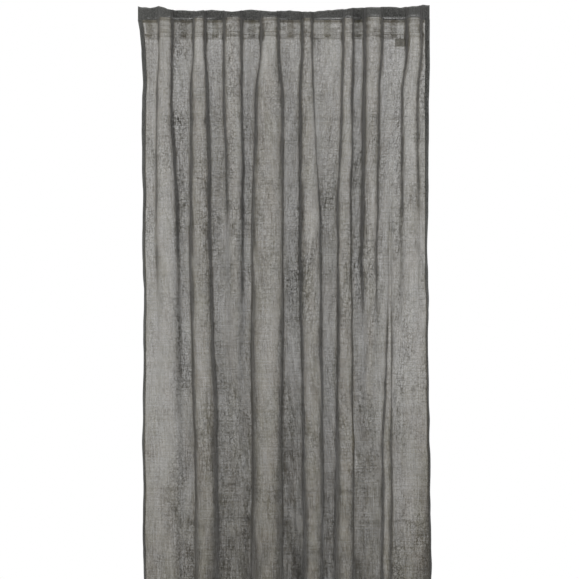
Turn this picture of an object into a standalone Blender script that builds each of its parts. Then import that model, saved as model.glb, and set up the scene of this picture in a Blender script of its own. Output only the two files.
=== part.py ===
"""A gathered, semi-sheer curtain panel on a corded heading tape, in metres, +Z up.

The front of the panel faces -Y and its width runs along X. The origin is on the axis of the
rod that the tape's loops hang from, at the middle of the panel's width. The cloth follows a
plan curve that keeps its cut width at every height: pleats stand forward of a common back
line, and the steepness of their sides is solved from the cut width. Every layer sewn to the
cloth is offset from that same surface.
"""
import math

import bmesh
import bpy
import numpy as np

# Overall sizes
FLAT_WIDTH = 1.300        # cut width of the cloth, before gathering
GATHERED_WIDTH = 0.774    # width of the header once its cords are drawn up
DROP = 2.500              # top edge to bottom edge

# Layers, front to back
CLOTH_THICKNESS = 0.0006
HEM_THICKNESS = 0.0012    # two more layers of the same cloth
TAPE_THICKNESS = 0.0008
CORD_DIAMETER = 0.0012
THREAD_THICKNESS = 0.0004
THREAD_WIDTH = 0.0008
LAYER_GAP = 0.0003

# Header and hems
TOP_STAND = 0.024         # cloth above the heading tape
TOP_TURNOVER = 0.032      # depth of the turned-over top edge
SIDE_HEM = 0.012
BOTTOM_HEM = 0.060
HEM_STITCH_INSET = 0.0016
HEADER_DEPTH = 0.110      # the pleats are straight down to here
CORD_BELOW_TURNOVER = 0.004
CORD_ABOVE_TAPE_EDGE = 0.012
KNOT_RADIUS = 0.0019
KNOT_CLEARANCE = 0.0011

# Rod loops on the back of the tape
ROD_DIAMETER = 0.028
LOOP_EASE = 0.003
LOOP_WIDTH = 0.018
LOOP_THICKNESS = 0.0009
LOOP_FOOT = 0.0083
TAPE_MARGIN = 0.0033      # tape beyond each foot of a loop
ROD_TO_TAPE = 0.002
LOOP_END_MARGIN = 0.0015
TACK_WIDTH = 0.012
TACK_HEIGHT = 0.0025
TACK_THICKNESS = 0.0006

# Care label, blank
LABEL_WIDTH = 0.040
LABEL_HEIGHT = 0.020
LABEL_THICKNESS = 0.0005
LABEL_FROM_LOOP = 0.003   # label's edge to the middle of the last loop
LABEL_STITCH_WIDTH = 0.014

# The pleats. Each row is one height, as a share of the way from the header to the bottom
# edge: the cloth's two side edges, then for each pleat its left side, its right side and how
# strongly it is folded. Places are shares of the gathered width, from the left.
REAR_BEND = 0.013
PLEAT_ROWS = [
    (0.00, 0.000, 1.000, [
        (0.072, 0.121, 1.00), (0.193, 0.234, 1.00), (0.297, 0.359, 1.00),
        (0.424, 0.486, 1.00), (0.566, 0.600, 1.00), (0.707, 0.741, 1.00),
        (0.779, 0.841, 1.00), (0.879, 0.886, 0.00), (0.924, 0.972, 1.00)]),
    (0.05, 0.014, 1.000, [
        (0.066, 0.117, 1.00), (0.183, 0.241, 1.00), (0.293, 0.359, 1.00),
        (0.407, 0.493, 1.00), (0.558, 0.603, 1.00), (0.700, 0.738, 1.00),
        (0.775, 0.831, 1.00), (0.867, 0.874, 0.00), (0.910, 0.962, 1.00)]),
    (0.21, 0.014, 0.998, [
        (0.066, 0.142, 0.75), (0.183, 0.252, 1.00), (0.308, 0.359, 0.75),
        (0.393, 0.500, 1.00), (0.558, 0.631, 0.92), (0.690, 0.734, 1.00),
        (0.769, 0.824, 0.85), (0.867, 0.872, 0.60), (0.908, 0.961, 0.70)]),
    (0.50, 0.015, 1.004, [
        (0.087, 0.145, 0.42), (0.198, 0.274, 1.00), (0.318, 0.353, 0.08),
        (0.393, 0.497, 1.00), (0.571, 0.636, 0.95), (0.682, 0.743, 1.00),
        (0.784, 0.801, 0.22), (0.842, 0.872, 1.00), (0.913, 0.938, 0.14)]),
    (1.00, 0.019, 1.012, [
        (0.100, 0.177, 0.50), (0.213, 0.293, 1.00), (0.327, 0.355, 0.20),
        (0.399, 0.508, 1.00), (0.565, 0.634, 1.00), (0.671, 0.745, 1.00),
        (0.780, 0.792, 0.20), (0.828, 0.882, 1.00), (0.916, 0.950, 0.30)]),
]

# Fineness
STATION_STEP = 0.0108     # between two columns of the cloth
CLOSEST = 0.0004          # between the edge of a strip and the next column
FINE_STEPS = 2600         # steps when the curve is summed
BEND_STEPS = 64
STEEPEST = 2.3            # radians, the furthest that the steepness is sought
HALVINGS = 40
LOOP_STEPS = 8            # around a loop's half turn
KNOT_STEPS = (10, 6)      # around a knot and over it
BODY_SHARES = (0.05, 0.10, 0.155, 0.21, 0.30, 0.40, 0.50, 0.65, 0.82)

# Worked out from the sizes above
LOOP_INNER = ROD_DIAMETER / 2 + LOOP_EASE
TAPE_HALF = LOOP_INNER + LOOP_THICKNESS + LOOP_FOOT + TAPE_MARGIN
TOP = TAPE_HALF + TOP_STAND
BOTTOM = TOP - DROP
HEM_OFFSET = CLOTH_THICKNESS / 2 + LAYER_GAP + HEM_THICKNESS / 2
HEM_BACK = HEM_OFFSET + HEM_THICKNESS / 2
TAPE_OFFSET = HEM_BACK + LAYER_GAP + TAPE_THICKNESS / 2
TAPE_BACK = TAPE_OFFSET + TAPE_THICKNESS / 2
TAPE_BACK_Y = -(ROD_DIAMETER / 2 + ROD_TO_TAPE)
CLOTH_BACK_Y = TAPE_BACK_Y - TAPE_BACK
KNOT_INSET = SIDE_HEM + KNOT_CLEARANCE + KNOT_RADIUS
TAPE_INSET = KNOT_INSET + KNOT_RADIUS + KNOT_CLEARANCE
TAPE_STITCH_Z = TAPE_HALF - TAPE_MARGIN / 2
HEM_STITCHES = (SIDE_HEM - HEM_STITCH_INSET - THREAD_WIDTH, SIDE_HEM - HEM_STITCH_INSET)
HEM_PLACES = [*HEM_STITCHES, SIDE_HEM]


# ---------------------------------------------------------------- the cloth's surface

def row_at(share):
    """The pleats' places and strengths at a height, between the two nearest rows."""
    for upper, lower in zip(PLEAT_ROWS, PLEAT_ROWS[1:]):
        if share <= lower[0]:
            break
    t = (share - upper[0]) / (lower[0] - upper[0])
    t = min(max(t, 0.0), 1.0)
    t = t * t * (3 - 2 * t)
    left = upper[1] + (lower[1] - upper[1]) * t
    right = upper[2] + (lower[2] - upper[2]) * t
    pleats = np.array(upper[3]) * (1 - t) + np.array(lower[3]) * t
    return left, right, pleats


def width_kept(angle):
    """The share of its length that a bend keeps across the panel, for its steepest angle."""
    turns = (np.arange(BEND_STEPS) + 0.5) / BEND_STEPS * math.pi / 2
    return float(np.mean(np.cos(angle * np.sin(turns))))


def layout(share):
    """Across the panel at a height: side edges, each pleat's sides, rear bend and strength."""
    left, right, pleats = row_at(share)
    left, right = (left - 0.5) * GATHERED_WIDTH, (right - 0.5) * GATHERED_WIDTH
    sides = (pleats[:, :2] - 0.5) * GATHERED_WIDTH
    ends = np.concatenate(([2 * left - sides[0, 0]], sides[:, 1]))
    starts = np.concatenate((sides[:, 0], [2 * right - sides[-1, 1]]))
    room = (starts - ends) / 2
    bends = np.minimum(REAR_BEND, np.minimum(room[:-1], room[1:]))
    return left, right, sides, bends, pleats[:, 2]


def steepness(share):
    """The angle of a full pleat's sides that uses up the cloth's cut width."""
    left, right, sides, bends, strengths = layout(share)
    spans = sides[:, 1] - sides[:, 0] + 2 * bends
    low, high = 0.0, STEEPEST
    for _ in range(HALVINGS):
        middle = (low + high) / 2
        kept = np.array([width_kept(middle * s) for s in strengths])
        length = right - left - spans.sum() + (spans / kept).sum()
        low, high = (middle, high) if length < FLAT_WIDTH else (low, middle)
    return (low + high) / 2


def pleat_lengths(share):
    """Each pleat along the cut width: its start, rear bend, crest and its sides' angle."""
    left, right, sides, bends, strengths = layout(share)
    full = steepness(share)
    found, x, start = [], left, 0.0
    for (a, b), bend, strength in zip(sides, bends, strengths):
        kept = width_kept(full * strength)
        start += a - bend - x
        quarter, crest = bend / kept, (b - a) / kept
        found.append((start, quarter, crest, full * strength))
        start += 2 * quarter + crest
        x = b + bend
    return left, found


def plan_curve(share):
    """Points and directions along the cut width at a height, with the pleats' backs at y = 0."""
    left, pleats = pleat_lengths(share)
    ds = FLAT_WIDTH / FINE_STEPS
    s = (np.arange(FINE_STEPS) + 0.5) * ds
    angle = np.zeros_like(s)
    for start, quarter, crest, steep in pleats:
        t = (s - start) / quarter
        angle = np.where((t >= 0) & (t < 1), -steep * np.sin(t * math.pi / 2), angle)
        t = (s - start - quarter) / crest
        angle = np.where((t >= 0) & (t < 1), -steep * np.cos(t * math.pi), angle)
        t = (s - start - quarter - crest) / quarter
        angle = np.where((t >= 0) & (t < 1), steep * np.cos(t * math.pi / 2), angle)
    steps = np.arange(FINE_STEPS + 1) * ds
    xs = left + np.concatenate(([0.0], np.cumsum(np.cos(angle)) * ds))
    ys = np.concatenate(([0.0], np.cumsum(np.sin(angle)) * ds))
    return [np.interp(PLACES, steps, v) for v in (xs, ys)] + [np.interp(PLACES, s, angle)]


def share_at(z):
    return max(0.0, (TOP - z - HEADER_DEPTH) / (DROP - HEADER_DEPTH))


def trough_places():
    """The middle of each trough between two folded pleats of the header, along the cut width."""
    spans = [(start, start + 2 * quarter + crest)
             for start, quarter, crest, steep in pleat_lengths(0.0)[1] if steep > 0]
    return [(end + start) / 2 for (_, end), (start, _) in zip(spans, spans[1:])]


def evenly_spaced():
    """Places across the cut width: even steps, with the hems' edges and the troughs let in."""
    count = round(FLAT_WIDTH / STATION_STEP)
    steps = [i * FLAT_WIDTH / count for i in range(count + 1)]
    hems = [*HEM_PLACES, *[FLAT_WIDTH - place for place in HEM_PLACES]]
    kept = [0.0, *hems, *trough_places(), FLAT_WIDTH]
    clear = [s for s in steps if min(abs(s - k) for k in kept) > STATION_STEP / 3]
    return np.array(sorted(clear + kept))


PLACES = evenly_spaced()
HEADER_MEAN = float(np.mean(plan_curve(0.0)[1]))
HEADER_END = TOP - HEADER_DEPTH
LEVELS = [TOP, HEADER_END]
LEVELS += [HEADER_END - share * (DROP - HEADER_DEPTH) for share in BODY_SHARES]
LEVELS += [BOTTOM + BOTTOM_HEM, BOTTOM]


def surface_row(z):
    """x, y and the rearward normal at every station, at one level of the cloth."""
    xs, ys, angle = plan_curve(share_at(z))
    hang = HEADER_MEAN - float(np.mean(ys))
    return np.stack([xs, ys + CLOTH_BACK_Y + hang, -np.sin(angle), np.cos(angle)])


SURFACE = [surface_row(z) for z in LEVELS]


def cloth_point(s, z, offset):
    """The point offset behind the cloth's middle, at a place across its cut width."""
    row = max(i for i in range(len(LEVELS) - 1) if z <= LEVELS[i] + 1e-9)
    down = (LEVELS[row] - z) / (LEVELS[row] - LEVELS[row + 1])
    column = min(int(np.searchsorted(PLACES, s + 1e-9)), len(PLACES) - 1) - 1
    along = (s - PLACES[column]) / (PLACES[column + 1] - PLACES[column])
    corners = []
    for r in (row, row + 1):
        for c in (column, column + 1):
            x, y, nx, ny = SURFACE[r][:, c]
            corners.append((x + nx * offset, y + ny * offset))
    corners = np.array(corners)
    upper = corners[0] * (1 - along) + corners[1] * along
    lower = corners[2] * (1 - along) + corners[3] * along
    x, y = upper * (1 - down) + lower * down
    return x, y, z


def between(low, high, stops):
    """low, the stops well inside the range, and high."""
    return [low, *[v for v in stops if low + CLOSEST < v < high - CLOSEST], high]


def stations(start, end):
    return between(start, end, PLACES)


def heights(low, high):
    return between(low, high, sorted(LEVELS))


# ---------------------------------------------------------------- making objects

def clear_scene():
    for old in list(bpy.data.objects):
        bpy.data.objects.remove(old, do_unlink=True)


def make_material(name, colour, roughness, alpha=1.0):
    material = bpy.data.materials.new(name)
    material.use_nodes = True
    shader = material.node_tree.nodes["Principled BSDF"]
    shader.inputs["Base Color"].default_value = (*colour, 1.0)
    shader.inputs["Roughness"].default_value = roughness
    shader.inputs["Metallic"].default_value = 0.0
    shader.inputs["Alpha"].default_value = alpha
    return material


def add_object(name, data, material, location=(0, 0, 0)):
    thing = bpy.data.objects.new(name, data)
    if not data.materials:
        data.materials.append(material)
    thing.location = location
    PANEL.objects.link(thing)
    return thing


def lattice(name, columns, rows, place):
    """An open sheet of triangles whose corner (i, j) is at place(i, j)."""
    bm = bmesh.new()
    bmesh.ops.create_grid(bm, x_segments=columns - 1, y_segments=rows - 1, size=1.0)
    for v in bm.verts:
        i = round((v.co.x + 1) / 2 * (columns - 1))
        j = round((v.co.y + 1) / 2 * (rows - 1))
        v.co = place(i, j)
    bmesh.ops.triangulate(bm, faces=bm.faces, quad_method="FIXED")
    mesh = bpy.data.meshes.new(name)
    bm.to_mesh(mesh)
    bm.free()
    return mesh


def thicken(thing, thickness, even=False):
    shell = thing.modifiers.new("thickness", "SOLIDIFY")
    shell.thickness = thickness
    shell.offset = 0.0
    shell.use_even_offset = even


def add_strip(name, across, up, offset, thickness, material):
    """A layer that follows the cloth between two places across it and two heights."""
    mesh = lattice(name, len(across), len(up), lambda i, j: cloth_point(across[i], up[j], offset))
    thing = add_object(name, mesh, material)
    thicken(thing, thickness)
    return thing


def add_box(name, size, centre, material):
    bm = bmesh.new()
    bmesh.ops.create_cube(bm, size=1.0)
    bmesh.ops.scale(bm, vec=size, verts=bm.verts)
    mesh = bpy.data.meshes.new(name)
    bm.to_mesh(mesh)
    bm.free()
    return add_object(name, mesh, material, centre)


# ---------------------------------------------------------------- the pieces

def make_cloth():
    across = stations(0.0, FLAT_WIDTH)
    add_strip("face_cloth", across, heights(BOTTOM, TOP), 0.0, CLOTH_THICKNESS, CLOTH)
    up = [TOP - TOP_TURNOVER, TOP]
    add_strip("top_turnover", across, up, HEM_OFFSET, HEM_THICKNESS, HEMS)
    up = [BOTTOM, BOTTOM + BOTTOM_HEM]
    add_strip("bottom_hem", across, up, HEM_OFFSET, HEM_THICKNESS, HEMS)
    side_up = heights(BOTTOM + BOTTOM_HEM + LAYER_GAP, TOP - TOP_TURNOVER - LAYER_GAP)
    for side, start in (("left", 0.0), ("right", FLAT_WIDTH - SIDE_HEM)):
        across = stations(start, start + SIDE_HEM)
        add_strip(f"{side}_side_hem", across, side_up, HEM_OFFSET, HEM_THICKNESS, HEMS)
    return side_up


def make_hem_stitching(side_up):
    offset = HEM_BACK + LAYER_GAP + THREAD_THICKNESS / 2
    left = list(HEM_STITCHES)
    right = [FLAT_WIDTH - place for place in reversed(left)]
    for side, across in (("left", left), ("right", right)):
        name = f"{side}_hem_stitching"
        add_strip(name, across, side_up, offset, THREAD_THICKNESS, THREAD)
    across = stations(SIDE_HEM, FLAT_WIDTH - SIDE_HEM)
    top = BOTTOM + BOTTOM_HEM - HEM_STITCH_INSET
    up = [top - THREAD_WIDTH, top]
    add_strip("bottom_hem_stitching", across, up, offset, THREAD_THICKNESS, THREAD)


def make_tape():
    across = stations(TAPE_INSET, FLAT_WIDTH - TAPE_INSET)
    up = [-TAPE_HALF, TAPE_HALF]
    add_strip("heading_tape", across, up, TAPE_OFFSET, TAPE_THICKNESS, TAPE)
    offset = TAPE_BACK + LAYER_GAP + THREAD_THICKNESS / 2
    for end, z in (("top", TAPE_STITCH_Z), ("bottom", -TAPE_STITCH_Z)):
        up = [z - THREAD_WIDTH / 2, z + THREAD_WIDTH / 2]
        name = f"tape_{end}_stitching"
        add_strip(name, across, up, offset, THREAD_THICKNESS, THREAD)


def make_cord(name, z):
    """One draw cord between the cloth and the tape, with a knot beyond each end of the tape."""
    offset = CLOTH_THICKNESS / 2 + LAYER_GAP + CORD_DIAMETER / 2
    end = KNOT_INSET + KNOT_RADIUS + LAYER_GAP
    points = [cloth_point(s, z, offset) for s in stations(end, FLAT_WIDTH - end)]
    curve = bpy.data.curves.new(name, "CURVE")
    curve.dimensions = "3D"
    curve.bevel_depth = CORD_DIAMETER / 2
    curve.bevel_resolution = 1
    curve.use_fill_caps = True
    spline = curve.splines.new("POLY")
    spline.points.add(len(points) - 1)
    for slot, point in zip(spline.points, points):
        slot.co = (*point, 1.0)
    add_object(name, curve, CORD)
    offset = CLOTH_THICKNESS / 2 + LAYER_GAP + KNOT_RADIUS
    for side, s in (("left", KNOT_INSET), ("right", FLAT_WIDTH - KNOT_INSET)):
        bm = bmesh.new()
        around, over = KNOT_STEPS
        bmesh.ops.create_uvsphere(bm, u_segments=around, v_segments=over, radius=KNOT_RADIUS)
        mesh = bpy.data.meshes.new(name)
        bm.to_mesh(mesh)
        bm.free()
        add_object(f"{name}_{side}_knot", mesh, CORD, cloth_point(s, z, offset))


def loop_places():
    """The middle of each rod loop across the header: one by the left hem, one a trough."""
    left, right, sides, bends, strengths = layout(0.0)
    folded = sides[strengths > 0]
    first = left + TAPE_INSET + LOOP_END_MARGIN + LOOP_WIDTH / 2
    return [first, *((folded[:-1, 1] + folded[1:, 0]) / 2)]


def make_loops():
    """The webbing loops that the rod goes through, each tacked down at its two feet."""
    middle = LOOP_INNER + LOOP_THICKNESS / 2
    foot_y = TAPE_BACK_Y + LAYER_GAP + LOOP_THICKNESS / 2
    outline = [(foot_y, middle + LOOP_FOOT), (foot_y, middle)]
    for step in range(LOOP_STEPS + 1):
        turn = math.pi * step / LOOP_STEPS
        outline.append((middle * math.sin(turn), middle * math.cos(turn)))
    outline += [(foot_y, -middle), (foot_y, -middle - LOOP_FOOT)]
    edges = (-LOOP_WIDTH / 2, LOOP_WIDTH / 2)
    mesh = lattice("loop", 2, len(outline), lambda i, j: (edges[i], *outline[j]))
    tack = (TACK_WIDTH, TACK_THICKNESS, TACK_HEIGHT)
    tack_y = foot_y + LOOP_THICKNESS / 2 + LAYER_GAP + TACK_THICKNESS / 2
    tack_z = middle + LOOP_FOOT / 2
    for number, x in enumerate(loop_places(), start=1):
        loop = add_object(f"rod_loop_{number}", mesh, WEBBING, (x, 0, 0))
        thicken(loop, LOOP_THICKNESS, even=True)
        for end, z in (("upper", tack_z), ("lower", -tack_z)):
            knot = add_box(f"loop_{number}_{end}_tack", tack, (0, tack_y, z), THREAD)
            knot.parent = loop


def make_label():
    """A blank label, stitched along its top to the back of the tape's lower edge."""
    left = loop_places()[-1] + LABEL_FROM_LOOP
    top = -TAPE_STITCH_Z - THREAD_WIDTH / 2 - LAYER_GAP
    y = TAPE_BACK_Y + LAYER_GAP + LABEL_THICKNESS / 2
    size = (LABEL_WIDTH, LABEL_THICKNESS, LABEL_HEIGHT)
    centre = (left + LABEL_WIDTH / 2, y, top - LABEL_HEIGHT / 2)
    add_box("care_label", size, centre, LABEL)
    y += LABEL_THICKNESS / 2 + LAYER_GAP + THREAD_THICKNESS / 2
    size = (LABEL_STITCH_WIDTH, THREAD_THICKNESS, THREAD_WIDTH)
    centre = (left + LABEL_STITCH_WIDTH / 2 + THREAD_WIDTH, y, top - THREAD_WIDTH)
    add_box("label_stitching", size, centre, THREAD)


clear_scene()
PANEL = bpy.data.collections.new("curtain_panel")
bpy.context.scene.collection.children.link(PANEL)
CLOTH = make_material("sheer_cloth", (0.105, 0.104, 0.098), 0.90, 0.8)
HEMS = make_material("doubled_cloth", (0.070, 0.069, 0.065), 0.90)
TAPE = make_material("heading_tape", (0.420, 0.420, 0.400), 0.60, 0.6)
WEBBING = make_material("loop_webbing", (0.360, 0.355, 0.340), 0.70)
CORD = make_material("draw_cord", (0.300, 0.295, 0.280), 0.65)
THREAD = make_material("sewing_thread", (0.085, 0.084, 0.080), 0.60)
LABEL = make_material("blank_label", (0.120, 0.120, 0.115), 0.55)

hem_heights = make_cloth()
make_hem_stitching(hem_heights)
make_tape()
make_cord("upper_draw_cord", TOP - TOP_TURNOVER - CORD_BELOW_TURNOVER)
make_cord("lower_draw_cord", -TAPE_HALF + CORD_ABOVE_TAPE_EDGE)
make_loops()
make_label()
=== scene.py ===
"""The looks of a gathered, semi-sheer curtain panel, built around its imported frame."""
import math

import bpy
import numpy as np
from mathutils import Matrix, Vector


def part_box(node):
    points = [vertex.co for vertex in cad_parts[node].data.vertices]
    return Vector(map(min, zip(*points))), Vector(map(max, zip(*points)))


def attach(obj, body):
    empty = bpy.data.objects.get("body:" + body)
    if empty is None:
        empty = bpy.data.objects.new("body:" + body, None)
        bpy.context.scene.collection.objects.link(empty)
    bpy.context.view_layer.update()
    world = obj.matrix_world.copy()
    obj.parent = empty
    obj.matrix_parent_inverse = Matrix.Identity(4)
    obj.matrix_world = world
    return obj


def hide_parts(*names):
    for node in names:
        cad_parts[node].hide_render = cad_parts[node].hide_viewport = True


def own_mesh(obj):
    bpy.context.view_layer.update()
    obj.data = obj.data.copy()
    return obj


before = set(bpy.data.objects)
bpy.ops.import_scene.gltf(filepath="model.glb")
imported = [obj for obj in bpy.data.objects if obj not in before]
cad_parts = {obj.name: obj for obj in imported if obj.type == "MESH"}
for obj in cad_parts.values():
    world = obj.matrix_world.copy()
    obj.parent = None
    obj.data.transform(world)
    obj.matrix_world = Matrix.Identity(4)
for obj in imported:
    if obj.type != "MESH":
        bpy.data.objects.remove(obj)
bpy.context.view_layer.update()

# ---------------------------------------------------------------- sizes, in metres
FLAT_WIDTH = 1.300
GATHERED_WIDTH = 0.774
CLOTH_LOW, CLOTH_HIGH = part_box("face_cloth")
TOP, BOTTOM = CLOTH_HIGH.z, CLOTH_LOW.z
DROP = TOP - BOTTOM
CLOTH_BACK_Y = -0.0189     # where the header's troughs stand
HEADER_DEPTH = 0.110       # the pleats start to wander below this
HEADER_END = TOP - HEADER_DEPTH
REAR_BEND = 0.013          # the width of the bend at the foot of a pleat's side
CREST_DIP = 0.0093         # how much lower the top edge stands on a crest than in a trough

TOP_TURNOVER = 0.032
SIDE_HEM = 0.012
BOTTOM_HEM = 0.060
HEM_FOLD = 0.0006          # how far a hem's inner fold bulges
ROLLED = 0.0145            # the width of each side edge that rolls back
DASH_Z, CREST_DASH_Z = 0.0268, 0.0185     # where light shows between the edge's stitches

TAPE_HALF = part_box("heading_tape")[1].z
TAPE_INSET = 0.018         # from the cloth's side edge to the tape's end
TAPE_SEAM_INSET = 0.00165  # from the tape's edge to its stitches
HEM_SEAM_INSET = 0.002     # from a hem's inner fold to its stitches
CORD_RADIUS = 0.0006
KNOT_INSET = 0.015         # from the cloth's side edge to the knot
KNOT_SIZE = 0.0022         # from the knot's middle to where the cord starts
KNOT_COIL = 0.00062
LOOP_PLY = 0.0009
LOOP_EDGE = 0.0003         # the rounding of the webbing's edges
TACK_INSET = 0.0005
LABEL_PLY = 0.0004
LABEL_CURL, LABEL_WAVES = 0.0015, 70

# Offsets behind the middle of the cloth
FACE_THREAD = -0.00035
FIRST_PLY, SECOND_PLY = 0.0008, 0.0014
CORD_OFFSET = 0.0012
TAPE_OFFSET = 0.0025
KNOT_OFFSET = 0.0022
HEM_THREAD = 0.0020
TAPE_THREAD = 0.0032

STITCH_PITCH = 0.0036
STITCH_LENGTH = 0.0024
THREAD_RADIUS = 0.00028
THREAD_SIDES = 5
THREAD_RINGS = 5           # along each stitch
STITCH_SUNK = 0.0003       # how much deeper a stitch's ends lie than its middle
FLAT_STITCH_SUNK = 0.00025
LABEL_PITCH, LABEL_STITCH, LABEL_SEAM_INSET = 0.0030, 0.0022, 0.0012

BARE = 0.274               # the share of light that gets between the yarns of one layer
COVER_RANGE = (0.42, 0.985)
HEM_COVER, SIDE_HEM_COVER = 0.78, 0.80
NARROWEST_COSINE = 0.13    # of the cloth's angle to the front, where it is seen edge on

COLUMNS = 396
HEADER_ROWS = 40
BODY_ROWS = 210
CURVE_STEPS = 2600
STEEPEST = 2.3             # radians
FULL_HEIGHT = 9.0          # taller than the curtain, for noise that only varies across it

LOOPS = range(1, 9)
LOOP_X = [(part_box(f"rod_loop_{i}")[0].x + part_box(f"rod_loop_{i}")[1].x) / 2 for i in LOOPS]

# Each row: a share of the way from the header to the bottom edge, the side edges, then each
# pleat's left side, right side and strength, as shares of the gathered width.
PLEAT_ROWS = [
    (0.00, 0.000, 1.000, [
        (0.072, 0.121, 1.00), (0.193, 0.234, 1.00), (0.297, 0.359, 1.00),
        (0.424, 0.486, 1.00), (0.566, 0.600, 1.00), (0.707, 0.741, 1.00),
        (0.779, 0.841, 1.00), (0.879, 0.886, 0.00), (0.924, 0.972, 1.00)]),
    (0.05, 0.014, 1.000, [
        (0.066, 0.122, 1.00), (0.183, 0.245, 1.00), (0.298, 0.361, 1.00),
        (0.409, 0.500, 1.00), (0.556, 0.603, 1.00), (0.698, 0.738, 1.00),
        (0.775, 0.831, 1.00), (0.867, 0.874, 0.00), (0.910, 0.960, 1.00)]),
    (0.21, 0.014, 0.998, [
        (0.066, 0.142, 0.75), (0.183, 0.252, 1.00), (0.308, 0.359, 0.75),
        (0.393, 0.500, 1.00), (0.558, 0.631, 0.92), (0.690, 0.734, 1.00),
        (0.769, 0.824, 0.85), (0.867, 0.872, 0.60), (0.908, 0.961, 0.70)]),
    (0.50, 0.015, 1.004, [
        (0.087, 0.145, 0.42), (0.198, 0.274, 1.00), (0.318, 0.353, 0.08),
        (0.393, 0.497, 1.00), (0.571, 0.636, 0.95), (0.682, 0.743, 1.00),
        (0.784, 0.801, 0.22), (0.842, 0.872, 1.00), (0.913, 0.938, 0.14)]),
    (1.00, 0.019, 1.012, [
        (0.100, 0.177, 0.50), (0.213, 0.293, 1.00), (0.327, 0.355, 0.20),
        (0.399, 0.508, 1.00), (0.565, 0.634, 1.00), (0.671, 0.745, 1.00),
        (0.780, 0.792, 0.20), (0.828, 0.882, 1.00), (0.916, 0.950, 0.30)]),
]
# How closely packed the cloth is in each pleat's left and right side, at these shares down; it also
# scales the painted shade that darkens each fold side
SHADE_AT = (0, .045, .168, .335, .502)
SHADES = [
    ((1, .8, .8, .2, 0), (1, 1, .75, .9, .5)),
    ((1.2, 1.3, 1.5, 1.7, 1.7), (1, 1, 1, 1, 1)),
    ((1, 1, .35, 0, 0), (1, 1, 1, .8, .3)),
    ((1, 1, 1.5, 2, 2), (1, .9, .8, .8, 1.1)),
    ((1.3, 1.5, 1.2, .9, 1.1), (1, .3, .3, .4, .7)),
    ((1.2, 1.5, 1.4, 1.5, 2), (1, 1, 1, 1.1, 1.3)),
    ((1.2, 1.5, 1.7, 0, 0), (1, 1.1, 1, 0, 0)),
    ((0, 0, .6, 1.4, 1.4), (0, 0, .6, 1, 1)),
    ((1, .5, .9, 0, 0), (1, 1, .9, 0, 0)),
]
# How far the top edge stands above its mean line, from left to right
TOP_EDGE_X = (-.387, -.354, -.328, -.29, -.224, -.19, -.136, -.085, -.03, .02, .067,
              .152, .192, .28, .312, .379)
TOP_EDGE_RISE = (.004, -.001, .005, -.006, -.008, -.005, -.009, -.005, -.009, -.007, -.011,
                 -.004, .000, .003, .001, .008)
# Strips crushed the hardest: the middle and half width across, and the level they fade at
CRUSHED_STRIPS = ((-0.275, 0.016, -1.3), (-0.141, 0.016, -0.6),
                  (0.312, 0.018, -2.3), (0.05, 0.012, -0.5))
PAINTED_SHADE_X = 0.283           # painted fold shade lower down on the crest of the narrow pleat near the right edge
# Creases from the packing, pressed into the cloth and darkened with painted shade: how far down from
# the top edge, and how strong
PACKING_CREASES = ((0.30, .5), (1.277, 1.0), (1.369, 1.0), (1.44, .8), (1.75, .6), (2.1, .8))
# How far the left (-1) and right (1) edges stand to the right of the hang: levels, then shifts
EDGE_SHIFTS = {
    -1: ((-2.4, -1.4, -0.5, -0.18, -0.12, -0.058, -0.005, 0.022),
         (0, 0, -.001, .001, .005, .0095, .005, 0)),
    1: ((-2.4, -1.4, -1.0, -0.5, 0.05), (.007, .007, .003, .003, .004)),
}
# The share of BARE left at these depths, at the sides, and how much less it is in the middle:
# painted shade, as the light from behind is weaker lower down and in the middle
OUTER_LIGHT = ((0.0, 0.6, 0.9, 1.06, 1.27, 1.5, 2.5), (0.96, 0.95, 0.89, 0.84, 0.69, 0.49, 0.49))
MIDDLE_LOSS = ((0.08, 0.30, 0.85, 1.06, 1.27, 1.5), (0, 0.21, 0.25, 0.31, 0.36, 0.41))


# ---------------------------------------------------------------- the cloth's surface
def smooth(share):
    """Eases a share from 0 to 1 in and out."""
    return share * share * (3 - 2 * share)


def row_at(share):
    """The side edges and pleats at a share of the way down, blended from two rows."""
    for upper, lower in zip(PLEAT_ROWS, PLEAT_ROWS[1:]):
        if share <= lower[0]:
            break
    t = smooth(min(max((share - upper[0]) / (lower[0] - upper[0]), 0.0), 1.0))
    pleats = np.array(upper[3]) * (1 - t) + np.array(lower[3]) * t
    return upper[1] + (lower[1] - upper[1]) * t, upper[2] + (lower[2] - upper[2]) * t, pleats


def width_kept(angle):
    """The share of its length that a fold of that steepness spans across."""
    turns = (np.arange(64) + 0.5) / 64 * math.pi / 2
    return float(np.mean(np.cos(angle * np.sin(turns))))


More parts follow.
